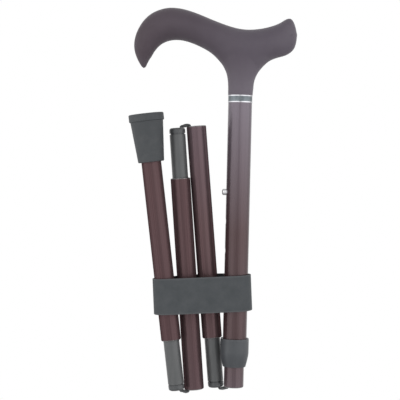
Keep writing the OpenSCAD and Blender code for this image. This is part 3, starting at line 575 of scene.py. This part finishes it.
def make_arch(k):
    """Cord from a tube's bore over its rim and the next cap's lip into the cap, thicker between the two.

    It clears each edge by the gap and by its own rise there.
    """
    mouth, out, cap, into = mouths[k], OUTS[k], caps[k], DIRS[k]
    gap, turn_r = cap - mouth, CORD_R + EDGE_GAP
    leave, arrive = unit(gap - (gap @ out) * out), unit(gap - (gap @ into) * into)
    corner = ROUND_SHARE * turn_r
    over_rim, over_lip = turn_r + ARCH_RISES[k][0], turn_r + ARCH_RISES[k][1]
    wall, rim_top = mouth + (BORE_R - turn_r) * leave, mouth + BORE_R * leave + over_rim * out
    lip_top, lip = cap - CAP_MOUTH_R * arrive - over_lip * into, cap - (CAP_MOUTH_R - turn_r) * arrive
    across, end = np.linalg.norm(lip_top - rim_top) / 3, cap + CAP_LEN * into
    stretches = (
        (mouth - BEND_IN * out, BEND_IN / 2 * out, wall, BEND_IN / 2 * out),
        (wall, corner * out, rim_top, corner * leave),
        (rim_top, across * leave, lip_top, across * arrive),
        (lip_top, corner * arrive, lip, corner * into),
        (lip, CAP_LEN / 2 * into, end, CAP_LEN / 2 * into),
    )
    path = [p for row, steps in zip(stretches, ARCH_STEPS) for p in stretch(*row, steps)] + [end]
    radius = np.full(len(path), CORD_R)
    first, count = sum(ARCH_STEPS[:SPAN]), ARCH_STEPS[SPAN]
    radius[first : first + count] *= 1 + ARCH_SWELL * np.sin(np.linspace(0, math.pi, count))
    arch = sweep(f"cord_arch_{k + 1}", path, radius)
    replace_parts(arch, f"cord_bend_{k + 1}")
    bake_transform(arch)


def make_run(name, node, body, start, end, keep):
    """Straight run from its start to its end, carried by its section, with a mesh of its own when only part
    of it is kept.
    """
    path = [start + (end - start) * u for u in np.linspace(0, 1, RUN_POINTS)]
    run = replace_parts(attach(sweep(name, path, CORD_R), body), node)
    if keep < 1:
        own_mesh(run)


for k in range(3):
    make_arch(k)
anchor_z = BUTTON_Z - FLANGE_D - KNOT_LEN - ANCHOR_LEN
plug = REACH + ENTRY_GAP - BEND_IN
tops = [np.array([0.0, 0.0, anchor_z])] + [caps[k] + (CAP_LEN + FIT_GAP) * DIRS[k] for k in range(3)]
feet = [mouths[k] - (BEND_IN + FIT_GAP) * OUTS[k] for k in range(3)]
feet.append(caps[2] + (REACH + TUBES[2] - 2 * ANCHOR_LEN) * DIRS[2])
for k, body in enumerate((*PARENTS, "section_4")):
    left = 1 - plug / np.linalg.norm(feet[k] - tops[k]) if k < 3 else 1
    make_run(f"cord_length_{k + 1}", f"cord_run_{k + 1}", body, tops[k], feet[k], left)

# Storage band: an elastic strap round the four tubes, sewn into a loop behind
LOOP_POINTS, ROUND_POINTS, FACE_POINTS, EDGE_POINTS = 300, 256, 12, 7
BAND_EDGE = 0.35
LAP_REACH, STITCH_PLACE = 9, 6  # in points of the loop, to both sides
LAP_WIDTH, LAP_THICK, STITCH_LIFT = 0.985, 0.55, 1.558  # as shares of the strap's own
STITCH_PITCH, STITCH_FROM, STITCH_TO = 2.2, 2.0, 1.0
STITCH_SIDES, STITCH_FLAT = 8, 0.8
STITCH_SHAPE = ((-0.8, 0.05), (-0.5, 0.28), (0.0, 0.32), (0.5, 0.28), (0.8, 0.05))
band_at = np.array([0.0, 0.0, UPPER_END + BAND_RISE])
band_up, band_side = lean(-BAND_TILT), lean(90 - BAND_TILT)


def band_spot(point, direction):
    """Where a tube's axis passes the band's middle plane."""
    p = point - band_at
    q = p - direction * (p @ band_up) / (direction @ band_up)
    return q @ band_side, q[1]


def band_room(tilt):
    """Room that a tube needs in the loop because it leans against the band."""
    return BAND_GAP + BAND_H / 2 * math.tan(math.radians(abs(tilt - BAND_TILT)))


def bends_in(a, b, c):
    """Whether the way from a over b to c runs straight on or turns clockwise."""
    return (b[0] - a[0]) * (c[1] - a[1]) <= (b[1] - a[1]) * (c[0] - a[0])


def hull(points):
    """Convex outline of the points, counter-clockwise."""
    points = sorted(map(tuple, points))
    made = []
    for row in (points, points[::-1]):
        part = []
        for p in row:
            while len(part) > 1 and bends_in(part[-2], part[-1], p):
                part.pop()
            part.append(p)
        made += part[:-1]
    return np.array(made)


def band_loop():
    """Evenly spaced points on the strap's inner line, with their outward directions."""
    spots = [(band_spot(mouths[0], DOWN), UPPER_R + BAND_SLACK + band_room(0))]
    spots += [(band_spot(caps[k], DIRS[k]), LOWER_R + band_room(TILTS[k])) for k in range(3)]
    turn = np.linspace(0, 2 * math.pi, ROUND_POINTS, endpoint=False)
    ring = np.stack([np.cos(turn), np.sin(turn)], 1)
    line = hull(np.concatenate([np.array(c) + r * ring for c, r in spots]))
    line = np.vstack([line, line[:1]])
    lengths = np.concatenate([[0.0], np.cumsum(np.linalg.norm(np.diff(line, axis=0), axis=1))])
    at = np.linspace(0, lengths[-1], LOOP_POINTS, endpoint=False)
    points = np.stack([np.interp(at, lengths, line[:, i]) for i in (0, 1)], 1)
    along = np.roll(points, -1, 0) - np.roll(points, 1, 0)
    along /= np.linalg.norm(along, axis=1)[:, None]
    return points, np.stack([along[:, 1], -along[:, 0]], 1), lengths[-1]


LOOP, LOOP_OUT, LOOP_LEN = band_loop()


def strap_profile():
    """Strap's section as (across, outward) points: flat faces and rounded edges."""
    flat, middle, made = BAND_H / 2 - BAND_EDGE, BAND_T / 2, []
    for sign, base in ((1, BAND_T), (-1, 0.0)):
        made += [(sign * w, base) for w in np.linspace(-flat, flat, FACE_POINTS)]
        for a in np.linspace(0, math.pi, EDGE_POINTS)[1:-1]:
            made.append((sign * (flat + BAND_EDGE * math.sin(a)), middle + sign * middle * math.cos(a)))
    return made


def strap_point(i, across, outward):
    """Point at a step of the loop, across from its middle and outward from its inner line."""
    p = LOOP[i % len(LOOP)] + outward * LOOP_OUT[i % len(LOOP)]
    return band_at + band_side * p[0] + np.array([0.0, p[1], 0.0]) + band_up * across


def strap(name, first, last, profile, lift, closed):
    """Profile swept along part of the loop, or all round it, lifted off its inner line."""
    count, n = last - first, len(profile)
    points, faces, uvs = [], [], []
    for i in range(first, last):
        points += [strap_point(i, a, o + lift) for a, o in profile]
    step = LOOP_LEN / len(LOOP)
    for i in range(count if closed else count - 1):
        for s in range(n):
            j, m = (i + 1) % count, (s + 1) % n
            faces.append((i * n + s, i * n + m, j * n + m, j * n + s))
            u = ((first + i) * step, (first + i + 1) * step)
            v = (profile[s][0], profile[m][0])
            uvs.append(((u[0], v[0]), (u[0], v[1]), (u[1], v[1]), (u[1], v[0])))
    if not closed:
        for base, order in ((0, -1), ((count - 1) * n, 1)):
            faces.append([base + s for s in range(n)][::order])
            uvs.append([(first * step, profile[s][0]) for s in range(n)][::order])
    return piece(name, points, faces, ELASTIC, uvs)


def on_band(made):
    """Piece that rides on the band, with a mesh of its own."""
    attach(made, "storage_band")
    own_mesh(made)
    return made


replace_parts(on_band(strap("band_strap", 0, len(LOOP), strap_profile(), 0.0, True)), "storage_band")
behind = int(np.argmax(LOOP_OUT[:, 1]))
lap = [(a * LAP_WIDTH, o * LAP_THICK) for a, o in strap_profile()]
on_band(strap("band_lap", behind - LAP_REACH, behind + LAP_REACH, lap, BAND_T, False))


def make_stitches():
    """Short threads in two rows across the lap, each a flattened bead."""
    points, faces, sides = [], [], STITCH_SIDES
    out, end = np.array([0.0, 1.0, 0.0]), (len(STITCH_SHAPE) - 1) * sides
    for i in (behind - STITCH_PLACE, behind + STITCH_PLACE):
        for w in np.arange(-BAND_H / 2 + STITCH_FROM, BAND_H / 2 - STITCH_TO, STITCH_PITCH):
            base = len(points)
            for r, (along, wide) in enumerate(STITCH_SHAPE):
                centre = strap_point(i, w + along, STITCH_LIFT * BAND_T)
                for s in range(sides):
                    a = 2 * math.pi * s / sides
                    offset = math.cos(a) * band_side + STITCH_FLAT * math.sin(a) * out
                    points.append(centre + wide * offset)
                if r:
                    low, high = base + (r - 1) * sides, base + r * sides
                    for s in range(sides):
                        n = (s + 1) % sides
                        faces.append((low + s, high + s, high + n, low + n))
            faces.append([base + s for s in range(sides)])
            faces.append([base + end + s for s in range(sides)][::-1])
    uvs = [[(0.0, 0.0)] * len(f) for f in faces]
    on_band(piece("band_stitches", points, faces, CORD, uvs))


make_stitches()

# Floor, light and camera, in metres
FLOOR_HALF, FLOOR_Z = 1.7, -1.02
WORLD_LIGHT = 0.3
LAMP_AIM, LAMP_SIZE = (-0.03, 0, -0.15), (4.2, 2.2)
CAMERA_AIM, CAMERA_AWAY = Vector((-0.0322, 0.0, -0.1452)), Vector((0.0, -1.05, 0.03))
CAMERA_ROLL, HALF_VIEW = math.radians(1.28), 0.17
SENSOR = 36.0  # in millimetres, as the lens


def make_floor():
    """Plain pale floor, low enough for the unfolded cane."""
    size, z = FLOOR_HALF, FLOOR_Z
    corners = [(-size, -size, z), (size, -size, z), (size, size, z), (-size, size, z)]
    mesh = bpy.data.meshes.new("floor")
    mesh.from_pydata(corners, [], [(0, 1, 2, 3)])
    t = Tree("floor_pale")
    mottle = t.noise(t.coords(), 9.0, 4.0, 0.6)
    t.finish(
        Base_Color=t.ramp(mottle, (0.3, linear(243, 243, 243)), (0.7, linear(250, 250, 250))),
        Roughness=0.8,
    )
    mesh.materials.append(t.material)
    floor = bpy.data.objects.new("floor", mesh)
    scene.collection.objects.link(floor)


def make_world():
    """White to the camera and in reflections, a softer grey as light."""
    world = scene.world or bpy.data.worlds.new("studio")
    scene.world = world
    world.use_nodes = True
    tree = world.node_tree
    tree.nodes.clear()
    rays = tree.nodes.new("ShaderNodeLightPath")
    seen = rays.outputs["Is Camera Ray"]
    for name in ("Is Glossy Ray", "Is Transmission Ray"):
        most = tree.nodes.new("ShaderNodeMath")
        most.operation = "MAXIMUM"
        tree.links.new(seen, most.inputs[0])
        tree.links.new(rays.outputs[name], most.inputs[1])
        seen = most.outputs[0]
    mix = tree.nodes.new("ShaderNodeMixShader")
    tree.links.new(seen, mix.inputs[0])
    for place, strength in ((1, WORLD_LIGHT), (2, 1.0)):
        light = tree.nodes.new("ShaderNodeBackground")
        light.inputs["Color"].default_value = (1, 1, 1, 1)
        light.inputs["Strength"].default_value = strength
        tree.links.new(light.outputs[0], mix.inputs[place])
    out = tree.nodes.new("ShaderNodeOutputWorld")
    tree.links.new(mix.outputs[0], out.inputs["Surface"])


def lamp(name, place, power):
    """Wide soft box that faces the cane."""
    data = bpy.data.lights.new(name, "AREA")
    data.shape, data.energy = "ELLIPSE", power
    data.size, data.size_y = LAMP_SIZE
    made = bpy.data.objects.new(name, data)
    made.location = place
    made.rotation_euler = (Vector(LAMP_AIM) - Vector(place)).to_track_quat("-Z", "Y").to_euler()
    scene.collection.objects.link(made)


def make_camera():
    """Camera at the photograph's viewing angle, with its small roll."""
    data = bpy.data.cameras.new("camera")
    data.sensor_width, data.lens = SENSOR, SENSOR / 2 * CAMERA_AWAY.length / HALF_VIEW
    made = bpy.data.objects.new("camera", data)
    made.matrix_world = (
        Matrix.Translation(CAMERA_AIM + CAMERA_AWAY)
        @ CAMERA_AWAY.to_track_quat("Z", "Y").to_matrix().to_4x4()
        @ Matrix.Rotation(CAMERA_ROLL, 4, "Z")
    )
    scene.collection.objects.link(made)
    scene.camera = made


make_floor()
make_world()
lamp("key", (1.55, -1.1, 0.25), 22.0)
lamp("fill", (-1.6, -1.05, 0.2), 20.0)
make_camera()

bpy.context.view_layer.update()
